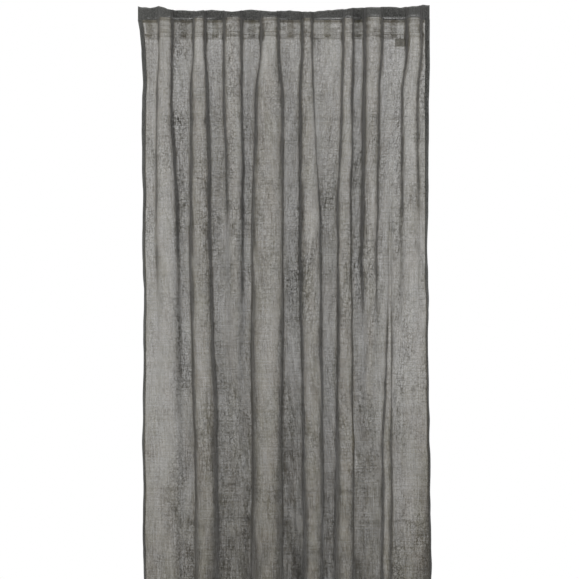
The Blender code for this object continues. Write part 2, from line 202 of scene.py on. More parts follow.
def plan_curve(share, places):
    """x, y, direction and shade across the cloth at a height, steep enough for its width."""
    left, right, pleats = row_at(share)
    left, right = (left - 0.5) * GATHERED_WIDTH, (right - 0.5) * GATHERED_WIDTH
    sides = (pleats[:, :2] - 0.5) * GATHERED_WIDTH
    ends = np.concatenate(([2 * left - sides[0, 0]], sides[:, 1]))
    starts = np.concatenate((sides[:, 0], [2 * right - sides[-1, 1]]))
    room = (starts - ends) / 2
    bends = np.minimum(REAR_BEND, np.minimum(room[:-1], room[1:]))
    spans = sides[:, 1] - sides[:, 0] + 2 * bends
    low, high = 0.0, STEEPEST
    for _ in range(30):     # halves the range until the curve is as long as the cloth is wide
        middle = (low + high) / 2
        kept = np.array([width_kept(middle * p) for p in pleats[:, 2]])
        length = right - left - spans.sum() + (spans / kept).sum()
        low, high = (middle, high) if length < FLAT_WIDTH else (low, middle)
    ds = FLAT_WIDTH / CURVE_STEPS
    s = (np.arange(CURVE_STEPS) + 0.5) * ds
    angle, shade = np.zeros(CURVE_STEPS), np.ones(CURVE_STEPS)
    x, start = left, 0.0
    for (a, b), bend, strength, shades in zip(sides, bends, pleats[:, 2], SHADES):
        steep = middle * strength
        kept = width_kept(steep)
        start += a - bend - x
        quarter, crest = bend / kept, (b - a) / kept
        half = quarter + crest / 2
        for side, after in zip(shades, (0, half)):
            inside = (s >= start + after) & (s < start + after + half)
            shade[inside] = np.interp(share, SHADE_AT, side)
        t = (s - start) / quarter
        angle = np.where((t >= 0) & (t < 1), -steep * np.sin(t * math.pi / 2), angle)
        t = (s - start - quarter) / crest
        angle = np.where((t >= 0) & (t < 1), -steep * np.cos(t * math.pi), angle)
        t = (s - start - quarter - crest) / quarter
        angle = np.where((t >= 0) & (t < 1), steep * np.cos(t * math.pi / 2), angle)
        start += 2 * quarter + crest
        x = b + bend
    knots = np.arange(CURVE_STEPS + 1) * ds
    xs = left + np.concatenate(([0.0], np.cumsum(np.cos(angle)) * ds))
    ys = np.concatenate(([0.0], np.cumsum(np.sin(angle)) * ds))
    return (np.interp(places, knots, xs), np.interp(places, knots, ys),
            np.interp(places, s, angle), np.interp(places, s, shade))


def lumps(wide, tall, seed, bend=0.0):
    """Smooth noise from -1 to 1 over the cloth, with lumps of that width and height."""
    rng = np.random.RandomState(seed)
    u = GRID_S / wide + rng.rand()
    v = (TOP - GRID_Z) / tall + rng.rand()
    if bend:
        u = u + bend * lumps(wide * 4, tall * 1.5, seed + 1)
    grid = rng.rand(int(v.max()) + 3, int(u.max()) + 4) * 2 - 1
    u = np.clip(u, 0, None)
    i, j = u.astype(int), v.astype(int)
    fu, fv = smooth(u - i), smooth(v - j)
    upper = grid[j, i] * (1 - fu) + grid[j, i + 1] * fu
    lower = grid[j + 1, i] * (1 - fu) + grid[j + 1, i + 1] * fu
    return upper * (1 - fv) + lower * fv


def step_up(v, low, high):
    """A smooth step from 0, up to low, to 1, from high."""
    return smooth(np.clip((v - low) / (high - low), 0, 1))


def bell(distance, wide):
    """1 at no distance, fading to nothing a few widths away."""
    return np.exp(-(distance / wide) ** 2)


PLACES = np.linspace(0, FLAT_WIDTH, COLUMNS + 1)
LEVELS = np.concatenate((np.linspace(TOP, HEADER_END, HEADER_ROWS + 1),
                         np.linspace(HEADER_END, BOTTOM, BODY_ROWS + 1)[1:]))
GRID_S, GRID_Z = np.meshgrid(PLACES, LEVELS)


def row(z, wide):
    """A soft line across the cloth at that level."""
    return bell(GRID_Z - z, wide)


def crease_line(level, wander, wide):
    """How far each point lies below a packing crease, which wanders up and down across."""
    return TOP - GRID_Z - level - wander * lumps(wide, FULL_HEIGHT, 41 + int(level * 10))


def relief(free):
    """How far the cloth stands off its plan curve, and how crushed it is there."""
    patch = 0.35 + 0.65 * step_up(lumps(0.10, 0.30, 21), -0.5, 0.7)
    crush = patch * (1 - np.abs(lumps(0.011, 0.055, 31, 0.6)) * 2)
    crinkle = 0.0011 * crush + 0.0006 * lumps(0.0085, 0.030, 33, 0.4)
    depth = crinkle + 0.0022 * lumps(0.05, 0.35, 35)
    broken = step_up(lumps(0.06, FULL_HEIGHT, 57), -0.3, 0.5)
    for level, strength in PACKING_CREASES:
        depth += 0.0016 * strength * bell(crease_line(level, 0.008, 0.06), 0.006) * broken
    tape_wave = 0.00035 * lumps(0.020, 0.006, 61) * step_up(lumps(0.05, 0.05, 62), -0.2, 0.6)
    return depth * (0.12 + 0.88 * free) + tape_wave * (1 - free), crush


def cloth_arrays():
    """The hanging cloth's points, backward normals and cover, by level and place across."""
    rows = [plan_curve(max(0.0, (HEADER_END - z) / (DROP - HEADER_DEPTH)), PLACES) for z in LEVELS]
    x, y, angle, shade = (np.array(v) for v in zip(*rows))
    y += CLOTH_BACK_Y + y[0].mean() - y.mean(axis=1, keepdims=True)
    z = GRID_Z.copy()
    free = step_up(-GRID_Z, TAPE_HALF * 0.9, TAPE_HALF + 0.12)   # 0 within the tape, 1 well below
    x += free * (0.0022 * lumps(0.09, 0.13, 11) + 0.0012 * lumps(0.05, 0.06, 12))
    depth, crush = relief(free)
    forward = (y[0].max() - y[0]) / (y[0].max() - y[0].min())     # 0 in a trough, 1 on a crest
    roll_edges(x, y, angle)
    normal_x, normal_y = -np.sin(angle), np.cos(angle)
    x += normal_x * depth
    y += normal_y * depth
    rise = np.interp(x[0], TOP_EDGE_X, TOP_EDGE_RISE) + 0.0012 * lumps(0.012, FULL_HEIGHT, 71)[0]
    z += (rise - CREST_DIP * forward) * step_up(GRID_Z, TAPE_HALF - 0.012, TOP)
    return x, y, z, normal_x, normal_y, cloth_cover(x, angle, shade, crush, forward)


def roll_edges(x, y, angle):
    """Rolls both side edges back, more so further down, and lets the cloth out to where it was."""
    amount = 0.5 * step_up(TOP - LEVELS, 0.05, 0.9)
    for first, sign in ((0, -1), (-1, 1)):
        from_edge = GRID_S if first == 0 else FLAT_WIDTH - GRID_S
        inner = np.argmin(np.abs(from_edge[0] - ROLLED))
        inside = from_edge[0] <= ROLLED
        kept = (1 - amount)[:, None]
        away = x[:, inside] - x[:, [inner]]
        out = np.abs(x[:, [0 if first == 0 else -1]] - x[:, [inner]]) * (1 - kept)
        x[:, inside] = x[:, [inner]] + away * kept
        y[:, inside] += np.abs(away) * np.sqrt(1 - kept ** 2)
        angle[:, inside] += sign * np.arccos(kept)
        shift = np.interp(LEVELS[::-1], *EDGE_SHIFTS[sign])[::-1]
        x += (sign * out + shift[:, None]) * bell(from_edge, 0.05)


def dash_light():
    """Where light comes through between the stitches of the turned-over edge, from 0 to 1."""
    from_edge = np.minimum(GRID_S, FLAT_WIDTH - GRID_S)
    return step_up(lumps(0.030, FULL_HEIGHT, 85), -0.6, 0.1) * step_up(from_edge, 0.022, 0.030)


def header_cover(angle, forward):
    """What the turned-over edge, the tape, its stitches and its gathers add to the cover, with
    painted shade on the gathers' steep sides.
    """
    side = step_up(np.abs(np.sin(angle)), 0.5, 0.9)
    light = dash_light()
    below_edge = step_up(GRID_Z, 0.0125, 0.0155) * (1 - step_up(GRID_Z, 0.0220, 0.0235))
    taped = step_up(GRID_Z, -0.033, -0.027) * (1 - step_up(GRID_Z, 0.010, 0.014))
    pucker = lumps(0.022, 0.0042, 86) * step_up(lumps(0.035, 0.022, 88), -0.5, 0.4)
    shaded_spots = row(-0.026, 0.012) * step_up(lumps(0.022, FULL_HEIGHT, 84), -0.2, 0.4)
    seam = (0.05 + 0.04 * lumps(0.02, FULL_HEIGHT, 83)) * row(-TAPE_HALF + 0.0016, 0.0022)
    added = (0.15 - 0.02 * forward) * below_edge + 0.085 * taped * pucker + seam
    added -= 0.34 * forward * light * row(CREST_DASH_Z, 0.0018)
    added -= 0.34 * (1 - forward) * light * row(DASH_Z, 0.0019)
    added += 0.07 * forward * row(0.0115, 0.0020)
    # painted shade on the steep sides of the gathers, strongest in a row of spots across the tape
    added += side * (0.04 * step_up(GRID_Z, -0.05, -0.03) + 0.30 * shaded_spots)
    return added


def cloth_cover(x, angle, shade, crush, forward):
    """How much of the light the cloth stops: more where it stands steeply to the front, and more
    again as painted shade on fold sides, along creases and lower down.
    """
    down = TOP - GRID_Z
    middle = 1 - step_up(np.abs(x + 0.01), 0.20, 0.31)
    # painted shade: less light through the cloth lower down and in the middle
    bare = BARE * np.interp(down, *OUTER_LIGHT) * (1 - np.interp(down, *MIDDLE_LOSS) * middle)
    lean = 1 / np.clip(np.cos(angle), NARROWEST_COSINE, 1) - 1
    # the steep fold sides stop more light, partly as cloth seen aslant and partly as painted shade,
    # with more painted shade in the header
    packed = shade * (0.62 + 0.38 * lumps(0.05, 0.075, 87))
    packed += 0.15 * step_up(GRID_Z, -0.09, -0.03)
    cover = 1 - bare ** (1 + packed * lean ** 1.4)
    cover += 0.030 * crush + 0.030 * lumps(0.03, 0.20, 81) + 0.02 * lumps(0.012, 0.04, 82)
    cover += 0.13 * bell(FLAT_WIDTH - GRID_S, 0.03) * step_up(down, 1.0, 1.35)
    # painted fold shade on the narrow pleat's crest, lower down
    cover += 0.11 * bell(x - PAINTED_SHADE_X, 0.008) * step_up(down, 0.95, 1.2)
    # painted shade along the packing creases
    for level, strength in PACKING_CREASES:
        seen = step_up(lumps(0.09, FULL_HEIGHT, 58 + int(level * 10)), -0.7, 0.8)
        cover += 0.050 * strength * seen * bell(crease_line(level, 0.012, 0.05), 0.0034)
    return np.clip(cover + header_cover(angle, forward), *COVER_RANGE)


X, Y, Z, NORMAL_X, NORMAL_Y, COVER = cloth_arrays()


def on_cloth(s, z, offset=0.0):
    """Points behind the cloth's middle by offset, at places across it and levels down it."""
    s, z, offset = np.broadcast_arrays(s, z, offset)
    c = np.clip(s / FLAT_WIDTH * COLUMNS, 0, COLUMNS - 1e-6)
    r = np.clip(np.interp(-z, -LEVELS, np.arange(len(LEVELS))), 0, len(LEVELS) - 1 - 1e-6)
    i, j = c.astype(int), r.astype(int)
    fc, fr = c - i, r - j

    def at(v):
        return ((v[j, i] * (1 - fc) + v[j, i + 1] * fc) * (1 - fr)
                + (v[j + 1, i] * (1 - fc) + v[j + 1, i + 1] * fc) * fr)
    nx, ny = at(NORMAL_X), at(NORMAL_Y)
    size = np.maximum(np.hypot(nx, ny), 1e-6)
    nx, ny = nx / size, ny / size
    normal = np.stack([nx, ny, np.zeros_like(nx)], -1)
    return np.stack([at(X), at(Y), at(Z)], -1) + normal * offset[..., None], normal


# ---------------------------------------------------------------- meshes
def new_mesh(name, points, faces, uv=None, values=None):
    """A smooth mesh object. uv holds one pair for each point, in metres."""
    mesh = bpy.data.meshes.new(name)
    mesh.from_pydata(np.asarray(points).reshape(-1, 3).tolist(), [], list(faces))
    mesh.polygons.foreach_set("use_smooth", [True] * len(mesh.polygons))
    if uv is not None:
        corner = np.zeros(len(mesh.loops), np.int32)
        mesh.loops.foreach_get("vertex_index", corner)
        layer = mesh.uv_layers.new(name="cloth")
        layer.data.foreach_set("uv", np.asarray(uv, np.float32).reshape(-1, 2)[corner].ravel())
    for key, value in (values or {}).items():
        data = mesh.attributes.new(key, "FLOAT", "POINT").data
        data.foreach_set("value", np.asarray(value, np.float32).ravel())
    mesh.update()
    thing = bpy.data.objects.new(name, mesh)
    bpy.context.scene.collection.objects.link(thing)
    return thing


def grid_faces(rows, columns, loop=False):
    """Quads of a lattice of points, rows by columns, closed round its columns if loop."""
    index = np.arange(rows * columns).reshape(rows, columns)
    if loop:
        index = np.concatenate((index, index[:, :1]), axis=1)
    a, b, c, d = index[:-1, :-1], index[:-1, 1:], index[1:, 1:], index[1:, :-1]
    return np.stack([a, d, c, b], -1).reshape(-1, 4).tolist()


def sheet_mesh(name, points, u, v, values=None):
    """A sheet from a lattice of points, with u and v in metres along and up the cloth."""
    rows, columns = points.shape[:2]
    return new_mesh(name, points, grid_faces(rows, columns), np.stack([u, v], -1), values)


def tube(name, path, radius, sides=8, closed=False):
    """A round tube along a path of points, its uv running along it and round it."""
    path = np.asarray(path, float)
    ahead = np.roll(path, -1, 0) - np.roll(path, 1, 0)
    if not closed:
        ahead[0], ahead[-1] = path[1] - path[0], path[-1] - path[-2]
    ahead /= np.linalg.norm(ahead, axis=1, keepdims=True)
    side = np.cross(ahead, (0.0, 0.0, 1.0))
    weak = np.linalg.norm(side, axis=1) < 0.2
    side[weak] = np.cross(ahead[weak], (1.0, 0.0, 0.0))
    side /= np.linalg.norm(side, axis=1, keepdims=True)
    up = np.cross(side, ahead)
    turn = np.arange(sides) / sides * 2 * math.pi
    ring = side[:, None] * np.cos(turn)[None, :, None] + up[:, None] * np.sin(turn)[None, :, None]
    points = path[:, None] + ring * radius
    along = np.concatenate(([0], np.cumsum(np.linalg.norm(np.diff(path, axis=0), axis=1))))
    uv = np.stack(np.broadcast_arrays(along[:, None], turn[None] / (2 * math.pi)), -1)
    faces = grid_faces(len(path), sides, loop=True)
    if closed:
        last = (len(path) - 1) * sides
        faces += [[last + k, k, (k + 1) % sides, last + (k + 1) % sides] for k in range(sides)]
    else:
        end = len(path) * sides
        faces += [list(range(sides)), list(range(end - 1, end - sides - 1, -1))]
    return new_mesh(name, points, faces, uv)


def stitches(name, starts, middles, ends, sides, normals):
    """Separate thread dashes, each from a start over a raised middle to an end."""
    count = len(starts)
    turn = np.arange(THREAD_SIDES) / THREAD_SIDES * 2 * math.pi
    rings = []
    for point, share in ((starts, 0.35), (starts * .55 + middles * .45, 0.9), (middles, 1.0),
                         (ends * .55 + middles * .45, 0.9), (ends, 0.35)):
        circle = (sides[:, None] * np.cos(turn)[None, :, None]
                  + normals[:, None] * np.sin(turn)[None, :, None])
        rings.append(point[:, None] + circle * THREAD_RADIUS * share)
    points = np.stack(rings, 1)
    one = np.array(grid_faces(THREAD_RINGS, THREAD_SIDES, loop=True))
    first = np.arange(count) * THREAD_RINGS * THREAD_SIDES
    faces = (one[None] + first[:, None, None]).reshape(-1, 4).tolist()
    along = np.linspace(0, STITCH_LENGTH, THREAD_RINGS)
    uv = np.broadcast_to(np.stack(np.meshgrid(along, turn / (2 * math.pi), indexing="ij"), -1),
                         (count, THREAD_RINGS, THREAD_SIDES, 2))
    return new_mesh(name, points, faces, uv)


def seam(name, s0, z0, s1, z1, back):
    """Stitches along a straight seam of the cloth, on its face and at offset back behind it."""
    length = math.hypot(s1 - s0, z1 - z0)
    count = int(length / STITCH_PITCH)
    rng = np.random.RandomState(len(name))
    middle = (np.arange(count) + 0.5) / count + rng.uniform(-.04, .04, count) / count
    half = STITCH_LENGTH / 2 / length
    parts = []
    for offset, lift in ((FACE_THREAD, -1), (back, 1)):
        shift = 0 if lift < 0 else 0.5 / count
        places = []
        for t, sunk in ((middle - half, 1), (middle, 0), (middle + half, 1)):
            t = np.clip(t + shift, 0, 1)
            depth = offset - lift * STITCH_SUNK * sunk
            places.append(on_cloth(s0 + (s1 - s0) * t, z0 + (z1 - z0) * t, depth))
        (a, _), (b, normal), (c, _) = places
        way = c - a
        way /= np.linalg.norm(way, axis=1, keepdims=True)
        parts.append((a, b, c, np.cross(way, normal), normal))
    return stitches(name, *[np.concatenate(v) for v in zip(*parts)])


# ---------------------------------------------------------------- materials
class Look:
    """A procedural material: a Principled shader, and short names for the nodes that feed it."""

    def __init__(self, name, **settings):
        self.material = bpy.data.materials.new("look_" + name)
        self.material.use_nodes = True
        self.tree = self.material.node_tree
        self.shader = self.tree.nodes["Principled BSDF"]
        for key, value in settings.items():
            self.shader.inputs[key.replace("_", " ")].default_value = value
        self.uv = self.node("ShaderNodeUVMap", uv_map="cloth").outputs[0]

    def node(self, kind, **settings):
        made = self.tree.nodes.new(kind)
        for key, value in settings.items():
            setattr(made, key, value)
        return made

    def feed(self, socket, value):
        if isinstance(value, bpy.types.NodeSocket):
            self.tree.links.new(value, socket)
        else:
            socket.default_value = value

    def math(self, operation, *values):
        made = self.node("ShaderNodeMath", operation=operation)
        for socket, value in zip(made.inputs, values):
            self.feed(socket, value)
        return made.outputs[0]

    def scaled(self, x, y):
        made = self.node("ShaderNodeVectorMath", operation="MULTIPLY")
        self.feed(made.inputs[0], self.uv)
        made.inputs[1].default_value = (x, y, 1)
        return made.outputs[0]

    def noise(self, wide, tall, detail=2.0, rough=0.5):
        """Noise from 0 to 1 with lumps of that size on the cloth, in metres."""
        made = self.node("ShaderNodeTexNoise")
        self.feed(made.inputs["Vector"], self.scaled(1 / wide, 1 / tall))
        made.inputs["Scale"].default_value = 1.0
        made.inputs["Detail"].default_value = detail
        made.inputs["Roughness"].default_value = rough
        return made.outputs[0]

    def across(self):
        """The places along and up the cloth, in metres."""
        split = self.node("ShaderNodeSeparateXYZ")
        self.feed(split.inputs[0], self.uv)
        return split.outputs[0], split.outputs[1]

    def wave(self, coordinate, pitch, shift=0.0):
        """A sine from -1 to 1 that repeats each pitch metres."""
        return self.math("SINE", self.math("MULTIPLY_ADD", coordinate, 2 * math.pi / pitch, shift))

    def attribute(self, name):
        return self.node("ShaderNodeAttribute", attribute_name=name).outputs["Fac"]

    def ramp(self, value, low, high, out_low=0.0, out_high=1.0):
        """A smooth step from out_low, up to low, to out_high, from high."""
        made = self.node("ShaderNodeMapRange", interpolation_type="SMOOTHSTEP")
        for socket, number in zip(made.inputs, (value, low, high, out_low, out_high)):
            self.feed(socket, number)
        return made.outputs[0]

    def mix(self, factor, a, b):
        made = self.node("ShaderNodeMix", data_type="RGBA")
        self.feed(made.inputs["Factor"], factor)
        for socket, colour in ((made.inputs[6], a), (made.inputs[7], b)):
            self.feed(socket, (*colour, 1.0) if isinstance(colour, tuple) else colour)
        return made.outputs[2]

    def bump(self, height, depth):
        made = self.node("ShaderNodeBump")
        made.inputs["Strength"].default_value = 1.0
        made.inputs["Distance"].default_value = depth
        self.feed(made.inputs["Height"], height)
        self.feed(self.shader.inputs["Normal"], made.outputs[0])

    def set(self, key, value):
        self.feed(self.shader.inputs[key], value)

    def backlit(self, colour, share, cover):
        """Lets light from behind show on the surface, and some of it straight through."""
        glow = self.node("ShaderNodeBsdfTranslucent")
        self.feed(glow.inputs["Color"], colour)
        both = self.node("ShaderNodeMixShader")
        both.inputs[0].default_value = share
        self.tree.links.new(self.shader.outputs[0], both.inputs[1])
        self.tree.links.new(glow.outputs[0], both.inputs[2])
        clear = self.node("ShaderNodeBsdfTransparent")
        seen = self.node("ShaderNodeMixShader")
        self.feed(seen.inputs[0], cover)
        self.tree.links.new(clear.outputs[0], seen.inputs[1])
        self.tree.links.new(both.outputs[0], seen.inputs[2])
        self.tree.links.new(seen.outputs[0], self.tree.nodes["Material Output"].inputs["Surface"])


WARP_PITCH, WEFT_PITCH, THREAD_WANDER = 0.0009, 0.0010, 0.0008
# Colours, in linear red, green and blue
SHEER_TONES = (0.056, 0.049, 0.034), (0.117, 0.102, 0.069)
DOUBLED_TONES = (0.050, 0.051, 0.049), (0.100, 0.102, 0.100)
TINTS = (0.086, 0.083, 0.058), (0.096, 0.078, 0.066)
BACKED = (0.077, 0.078, 0.074)
# painted shade, laid along the crease lines
PAINTED_CREASE_SHADE = (0.030, 0.0285, 0.024)
# painted shade for the steep fold sides
PAINTED_FOLD_SHADE = (0.014, 0.0128, 0.0108)
TAPE_TONES = (0.55, 0.55, 0.51), (0.78, 0.78, 0.74)
WEBBING_TONES = (0.60, 0.60, 0.585), (0.90, 0.90, 0.885)
CORD_TONES = (0.19, 0.185, 0.17), (0.40, 0.395, 0.37)
THREAD_TONES = (0.055, 0.054, 0.050), (0.12, 0.118, 0.11)
LABEL_TONES = (0.42, 0.42, 0.40), (0.56, 0.56, 0.54)


def weave(look):
    """A plain weave's height, from 0 to 1, and the waves of its two sets of threads."""
    u, v = look.across()
    warp_line = look.math("ADD", u, look.math("MULTIPLY", look.noise(.004, .03), THREAD_WANDER))
    weft_line = look.math("ADD", v, look.math("MULTIPLY", look.noise(.03, .004), THREAD_WANDER))
    warp_wave, weft_wave = look.wave(warp_line, WARP_PITCH), look.wave(weft_line, WEFT_PITCH)
    over = look.math("MULTIPLY", warp_wave, weft_wave)
    return look.math("MULTIPLY_ADD", over, 0.5, 0.5), warp_wave, weft_wave


def cracks(look, wide, tall, width):
    """A network of crease lines whose cells have that size: 1 on a line."""
    noise = look.node("ShaderNodeTexNoise")
    look.feed(noise.inputs["Vector"], look.scaled(1.3 / wide, 1.3 / tall))
    noise.inputs["Scale"].default_value = 1.0
    noise.inputs["Detail"].default_value = 3.0
    warp = look.node("ShaderNodeVectorMath", operation="MULTIPLY_ADD")
    look.feed(warp.inputs[0], noise.outputs["Color"])
    warp.inputs[1].default_value = (0.8, 0.8, 0)
    look.feed(warp.inputs[2], look.scaled(1 / wide, 1 / tall))
    cells = look.node("ShaderNodeTexVoronoi", feature="DISTANCE_TO_EDGE")
    look.feed(cells.inputs["Vector"], warp.outputs[0])
    cells.inputs["Scale"].default_value = 1.0
    return look.ramp(cells.outputs["Distance"], 0.0, width, 1.0, 0.0)


def cloth_look(name, thinnest, tones):
    """Crushed, slubby, open-weave cloth, whose cover, crackle and backing come from the mesh, with
    painted shade along its creases and on its steep fold sides.
    """
    look = Look(name, Roughness=0.92, Sheen_Weight=0.12, Sheen_Roughness=0.5, Specular_IOR_Level=0.2)
    over, warp_wave, weft_wave = weave(look)
    cover = look.attribute("cover")
    slub = look.noise(0.0016, 0.10, 3.0)
    cross = look.noise(0.10, 0.0022, 3.0)
    cloud = look.noise(0.030, 0.06, 4.0, 0.6)
    streak = look.noise(0.0036, 0.040, 3.0, 0.6)
    speck = look.noise(0.0034, 0.0050, 2.0, 0.7)
    patches = look.ramp(look.noise(0.05, 0.14, 1.0), 0.38, 0.62)
    vein = look.math("ABSOLUTE", look.math("SUBTRACT", look.noise(0.0065, 0.060, 2.0), 0.5))
    veins = look.ramp(vein, 0.0, 0.05, 1.0, 0.0)
    fine = cracks(look, 0.0090, 0.0130, 0.10)
    across = cracks(look, 0.022, 0.0095, 0.09)
    lines = look.math("MULTIPLY_ADD", across, 0.75, look.math("ADD", veins, fine))
    crackle = look.attribute("crackle")
    lines = look.math("MULTIPLY", look.math("MULTIPLY", lines, crackle),
                      look.math("MULTIPLY_ADD", patches, 0.45, 0.55))
    threads = look.math("ADD", slub, cross)
    tone = look.math("MULTIPLY_ADD", threads, 0.5, look.math("MULTIPLY_ADD", cloud, 0.8, -0.4))
    base = look.mix(look.ramp(tone, 0.25, 0.75), *tones)
    tint = look.mix(look.ramp(look.noise(0.05, 0.11, 2.0), 0.35, 0.65), *TINTS)
    base = look.mix(look.math("MULTIPLY", cloud, 0.45), base, tint)
    base = look.mix(look.attribute("backed"), base, BACKED)
    # painted shade along the crease lines
    base = look.mix(look.math("MULTIPLY", lines, 0.22), base, PAINTED_CREASE_SHADE)
    # painted shade: the colour darkens where the cover is densest, on the steep fold sides
    fold_shade = look.mix(0.62, base, PAINTED_FOLD_SHADE)
    base = look.mix(look.ramp(cover, 0.88, 0.985), base, fold_shade)
    look.set("Base Color", base)
    open_weave = look.math("MAXIMUM", warp_wave, weft_wave)
    alpha = look.math("MULTIPLY_ADD", look.math("SUBTRACT", threads, 1.0), 0.20, cover)
    alpha = look.math("MULTIPLY_ADD", look.math("SUBTRACT", streak, 0.5), 0.20, alpha)
    grain = look.math("MULTIPLY", look.ramp(patches, 0, 1, 0.24, 0.34), crackle)
    alpha = look.math("MULTIPLY_ADD", look.math("SUBTRACT", speck, 0.5), grain, alpha)
    alpha = look.math("MULTIPLY_ADD", look.math("SUBTRACT", lines, 0.3), 0.10, alpha)
    alpha = look.math("MULTIPLY_ADD", look.math("SUBTRACT", open_weave, 0.4), 0.08, alpha)
    clamp = look.node("ShaderNodeClamp")
    look.feed(clamp.inputs[0], alpha)
    clamp.inputs[1].default_value, clamp.inputs[2].default_value = thinnest, 0.99
    look.set("Alpha", clamp.outputs[0])
    relief = look.math("MULTIPLY_ADD", over, 0.10, look.math("MULTIPLY", lines, 0.6))
    relief = look.math("MULTIPLY_ADD", speck, 0.5, relief)
    look.bump(look.math("MULTIPLY_ADD", streak, 0.8, relief), 0.0014)
    return look.material


def tape_look():
    """Thin, ribbed, see-through tape with denser rows of pockets."""
    look = Look("heading_tape", Roughness=0.6, Specular_IOR_Level=0.35)
    u, v = look.across()
    ribs = look.wave(u, 0.0013)
    rows = look.wave(v, 0.0016)
    band = look.ramp(look.wave(v, 0.0118, 1.2), 0.55, 0.9)
    pocket = look.ramp(look.wave(u, 0.0095), -0.2, 0.5)
    solid = look.math("MULTIPLY", band, pocket)
    tone = look.math("MULTIPLY_ADD", ribs, 0.25, look.noise(0.004, 0.004, 2.0))
    pale = look.mix(look.ramp(tone, 0.2, 0.9), *TAPE_TONES)
    look.set("Base Color", pale)
    alpha = look.math("MULTIPLY_ADD", solid, 0.24, 0.24)
    alpha = look.math("MULTIPLY_ADD", look.math("MULTIPLY", ribs, rows), 0.10, alpha)
    look.backlit(pale, 0.55, alpha)
    look.bump(look.math("ADD", look.math("MULTIPLY", ribs, 0.5), solid), 0.0004)
    return look.material


def webbing_look():
    """Pale, see-through herringbone webbing."""
    look = Look("loop_webbing", Roughness=0.72, Specular_IOR_Level=0.3)
    u, v = look.across()
    zigzag = look.math("PINGPONG", u, 0.0045)
    twill = look.wave(look.math("ADD", v, zigzag), 0.0014)
    ends = look.wave(u, 0.0011)
    tone = look.math("MULTIPLY_ADD", twill, 0.3, look.noise(0.003, 0.003, 3.0))
    pale = look.mix(look.ramp(tone, 0.1, 0.9), *WEBBING_TONES)
    look.set("Base Color", pale)
    look.backlit(pale, 0.6, look.math("MULTIPLY_ADD", twill, 0.20, 0.42))
    look.bump(look.math("MULTIPLY_ADD", ends, 0.3, twill), 0.0006)
    return look.material


def cord_look():
    """A plaited cord: two waves that turn round it opposite ways."""
    look = Look("draw_cord", Roughness=0.7)
    u, v = look.across()
    turned = look.math("MULTIPLY", v, 0.0032)
    one = look.wave(look.math("ADD", u, turned), 0.0016)
    other = look.wave(look.math("SUBTRACT", u, turned), 0.0016)
    plait = look.math("MAXIMUM", one, other)
    look.set("Base Color", look.mix(look.ramp(plait, -0.2, 0.9), *CORD_TONES))
    look.bump(plait, 0.0002)
    return look.material


def thread_look():
    """Twisted dark sewing thread."""
    look = Look("sewing_thread", Roughness=0.55, Specular_IOR_Level=0.4)
    u, v = look.across()
    twist = look.wave(look.math("MULTIPLY_ADD", v, 0.0009, u), 0.0009)
    look.set("Base Color", look.mix(look.ramp(twist, -0.8, 0.8), *THREAD_TONES))
    look.bump(twist, 0.0001)
    return look.material


def label_look():
    """Blank satin."""
    look = Look("blank_label", Roughness=0.45, Sheen_Weight=0.2, Specular_IOR_Level=0.4)
    u, v = look.across()
    satin = look.wave(v, 0.0006)
    tone = look.math("MULTIPLY_ADD", satin, 0.3, look.noise(0.006, 0.0015, 3.0))
    pale = look.mix(look.ramp(tone, 0.1, 0.9), *LABEL_TONES)
    look.set("Base Color", pale)
    look.backlit(pale, 0.6, look.math("MULTIPLY_ADD", satin, 0.05, 0.62))
    look.bump(look.math("ADD", satin, look.wave(u, 0.0011)), 0.00008)
    return look.material


SHEER = cloth_look("sheer_cloth", 0.40, SHEER_TONES)
DOUBLED = cloth_look("doubled_cloth", 0.15, DOUBLED_TONES)
TAPE, WEBBING, CORD = tape_look(), webbing_look(), cord_look()
THREAD, LABEL = thread_look(), label_look()


# ---------------------------------------------------------------- putting a piece on the frame
def fit(thing, material, body, node):
    """Gives a piece its material and body, and pieces of the panel other than the loops a mesh of
    their own, since what belongs to the panel narrows as it is drawn.
    """
    thing.data.materials.append(material)
    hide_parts(node)
    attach(thing, body)
    if body == "panel" and not node.startswith(("rod_loop", "loop_")):
        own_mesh(thing)
    return thing


def hem_section(depth):
    """Depths and offsets round a twice-turned hem, from the cloth's folded edge to the raw one."""
    turn = np.linspace(0, math.pi, 7)
    edge = [(0.0003 - 0.0009 * math.sin(t), SECOND_PLY / 2 * (1 - math.cos(t))) for t in turn]
    count = max(4, int(depth / 0.0016))
    run = [(d, SECOND_PLY) for d in np.linspace(0.0016, depth - HEM_FOLD, count)]
    middle, half = (FIRST_PLY + SECOND_PLY) / 2, (SECOND_PLY - FIRST_PLY) / 2
    fold = [(depth - HEM_FOLD + HEM_FOLD * math.sin(t), middle + half * math.cos(t))
            for t in turn[1:]]
    count = max(4, int(depth / 0.0024))
    back = [(d, FIRST_PLY) for d in np.linspace(depth - 0.002, 0.003, count)]
    return np.array(edge + run + fold + back).T


def crackle():
    """How strongly the cloth is crushed, from 0: in patches, and along the crushed strips."""
    amount = 0.70 + 0.45 * step_up(lumps(0.08, 0.20, 91), -0.2, 0.8)
    for middle, half, low in CRUSHED_STRIPS:
        amount += 0.5 * bell(X - middle, half) * step_up(GRID_Z, low - 0.2, low)
    return amount * (1 - 0.35 * step_up(TOP - GRID_Z, 0.5, 1.4))


def make_hem(name, node, s, z, depth, offset, outward, cover):
    """A hem behind the cloth. Its fold stands past the edge that lies outward, as (across, up)."""
    points, normal = on_cloth(np.clip(s, 0, FLAT_WIDTH), z, offset)
    across, up = np.cross(normal, (0, 0, 1)), np.array((0, 0, 1))
    points -= np.minimum(depth, 0)[..., None] * (outward[0] * across + outward[1] * up)
    values = {"cover": np.broadcast_to(cover, s.shape), "crackle": np.ones(s.shape)}
    return fit(sheet_mesh(name, points, s, z, values), DOUBLED, "panel", node)


